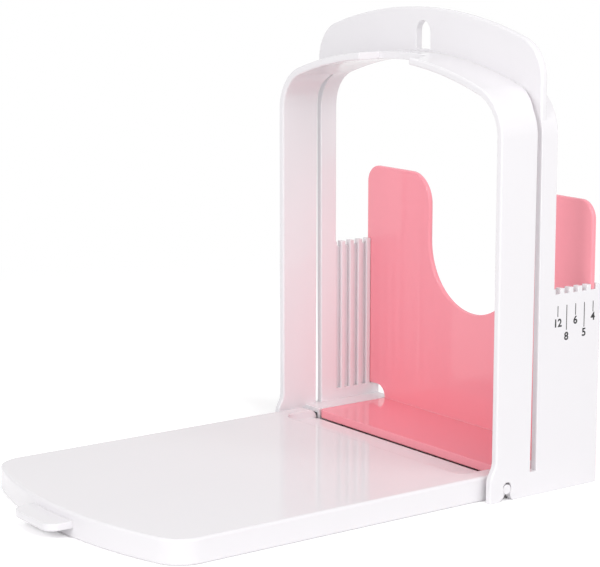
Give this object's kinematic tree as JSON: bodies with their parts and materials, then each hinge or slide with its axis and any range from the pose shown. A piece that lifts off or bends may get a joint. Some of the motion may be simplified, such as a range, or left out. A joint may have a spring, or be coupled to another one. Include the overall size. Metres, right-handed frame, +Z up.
{
  "type": "bread slicer guide",
  "caption": "Folding bread slicer guide: slotted arch frame with comb panels, lift-out loaf stopper with a U-shaped notch, and a hinged loaf tray.",
  "frame": {"origin": "on the table under the middle of the whole length with the tray down", "axes": "+X across the loaf, +Y along the loaf from the tray to the stopper, +Z up"},
  "size_m": [0.1524, 0.2314, 0.199],
  "materials": {
    "white_plastic": "gloss",
    "pink_plastic": "gloss"
  },
  "bodies": {
    "frame": {"frame": "white_plastic"},
    "stopper": {"stopper": "pink_plastic"},
    "tray": {"tray": "white_plastic"}
  },
  "joints": [
    {"name": "tray_fold", "type": "hinge", "parent": "frame", "child": "tray", "pos_m": [0, 0.0655, 0.005], "axis": [-1, 0, 0], "range_deg": [0, 90]},
    {"name": "stopper_lift", "type": "slide", "parent": "frame", "child": "stopper", "axis": [0, 0, 1], "range_m": [0, 0.075]}
  ]
}
